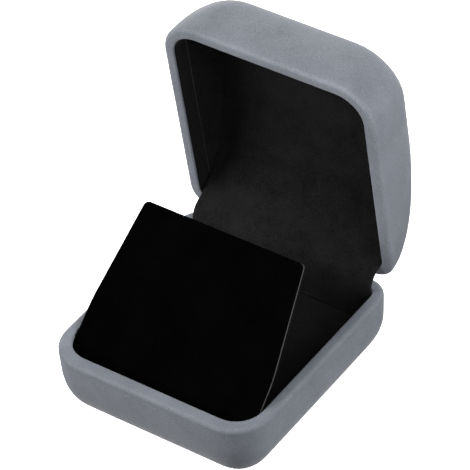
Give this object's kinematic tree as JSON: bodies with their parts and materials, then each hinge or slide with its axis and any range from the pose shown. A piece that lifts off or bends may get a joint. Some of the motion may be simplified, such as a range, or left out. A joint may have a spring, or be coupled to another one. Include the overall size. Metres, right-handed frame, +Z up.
{
  "type": "presentation box",
  "caption": "Velvet-covered hinged presentation box, open, with a black lining and a display card that stands up on a folding prop.",
  "frame": {"origin": "on the flat underside, below the middle of the box's plan at the rims", "axes": "+Z up, -Y to the front where the box opens, +Y to the hinge, +X to the right seen from the front"},
  "size_m": [0.07, 0.0895, 0.0969],
  "materials": {
    "grey_velvet": "short-pile velvet, bluish grey",
    "black_flock": "fine black flocked lining",
    "black_velvet": "deep black velvet",
    "grey_board": "grey board, cut edges bare",
    "black_paper": "matt black paper",
    "moulded_shell": "moulded, hidden under the velvet",
    "hinge_steel": "plated spring steel"
  },
  "bodies": {
    "base": {"base_shell": "moulded_shell", "base_velvet": "grey_velvet", "base_rim_band": "black_flock", "base_liner": "black_flock", "base_floor_card": "black_flock", "base_underside_pad": "grey_velvet", "base_hinge_leaf": "hinge_steel", "hinge_pin": "hinge_steel", "base_hinge_rivets": "hinge_steel", "snap_spring": "hinge_steel", "hinge_lining_strip": "black_flock", "card_front_flap": "grey_board", "card_crease": "black_velvet"},
    "lid": {"lid_shell": "moulded_shell", "lid_velvet": "grey_velvet", "lid_rim_band": "black_flock", "lid_liner": "black_flock", "lid_hinge_leaf": "hinge_steel", "lid_hinge_rivets": "hinge_steel"},
    "card": {"card_board": "grey_board", "card_velvet": "black_velvet", "card_back_paper": "black_paper", "prop_crease": "black_paper"},
    "prop": {"prop_leg": "grey_board"}
  },
  "joints": [
    {"name": "lid_hinge", "type": "hinge", "parent": "base", "child": "lid", "pos_m": [0, 0.037, 0.0228], "axis": [1, 0, 0], "range_deg": [0, 83.5], "deforming": ["hinge_lining_strip", "snap_spring"]},
    {"name": "card_tilt", "type": "hinge", "parent": "base", "child": "card", "pos_m": [0, -0.03184, 0.01525], "axis": [1, 0, 0], "range_deg": [-42.65, 0]},
    {"name": "prop_fold", "type": "hinge", "parent": "card", "child": "prop", "pos_m": [0, -0.01775, 0.02653], "axis": [1, 0, 0], "range_deg": [0, 110]}
  ],
  "couplings": [
    {"joint": "card_tilt", "follows": "lid_hinge", "ratio": -0.51078},
    {"joint": "prop_fold", "follows": "lid_hinge", "ratio": 1.3174}
  ]
}
